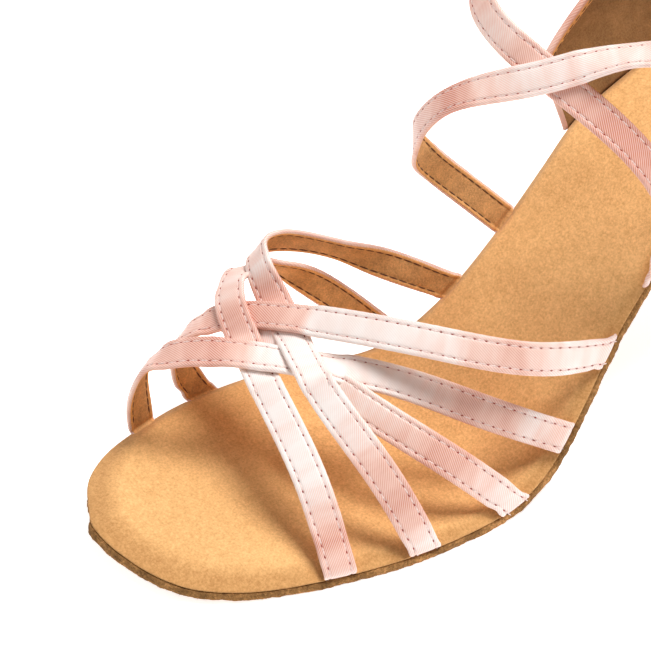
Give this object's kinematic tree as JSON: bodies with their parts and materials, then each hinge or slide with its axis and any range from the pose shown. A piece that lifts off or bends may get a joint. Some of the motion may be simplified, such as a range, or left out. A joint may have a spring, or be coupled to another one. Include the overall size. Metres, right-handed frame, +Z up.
{
  "type": "latin dance shoe",
  "caption": "High heeled open toe dance sandal with woven satin vamp straps, crossed instep straps, a closed heel cup, a suede insole and a thin suede sole.",
  "frame": {"origin": "middle of the heel tip's underside, on the floor", "axes": "+Z up, toe towards -Y, the outer side of the left foot towards +X"},
  "size_m": [0.0904, 0.2297, 0.1303],
  "materials": {
    "satin": "pale pink satin, soft sheen",
    "insole_suede": "tan brushed suede",
    "sole_suede": "raw dark brown suede",
    "tip_plastic": "hard matt top piece"
  },
  "bodies": {
    "root": {"outsole": "sole_suede", "insole": "insole_suede", "heel": "satin", "heel_tip": "tip_plastic", "counter": "satin", "vamp_straps": "satin", "instep_straps": "satin"}
  },
  "joints": []
}
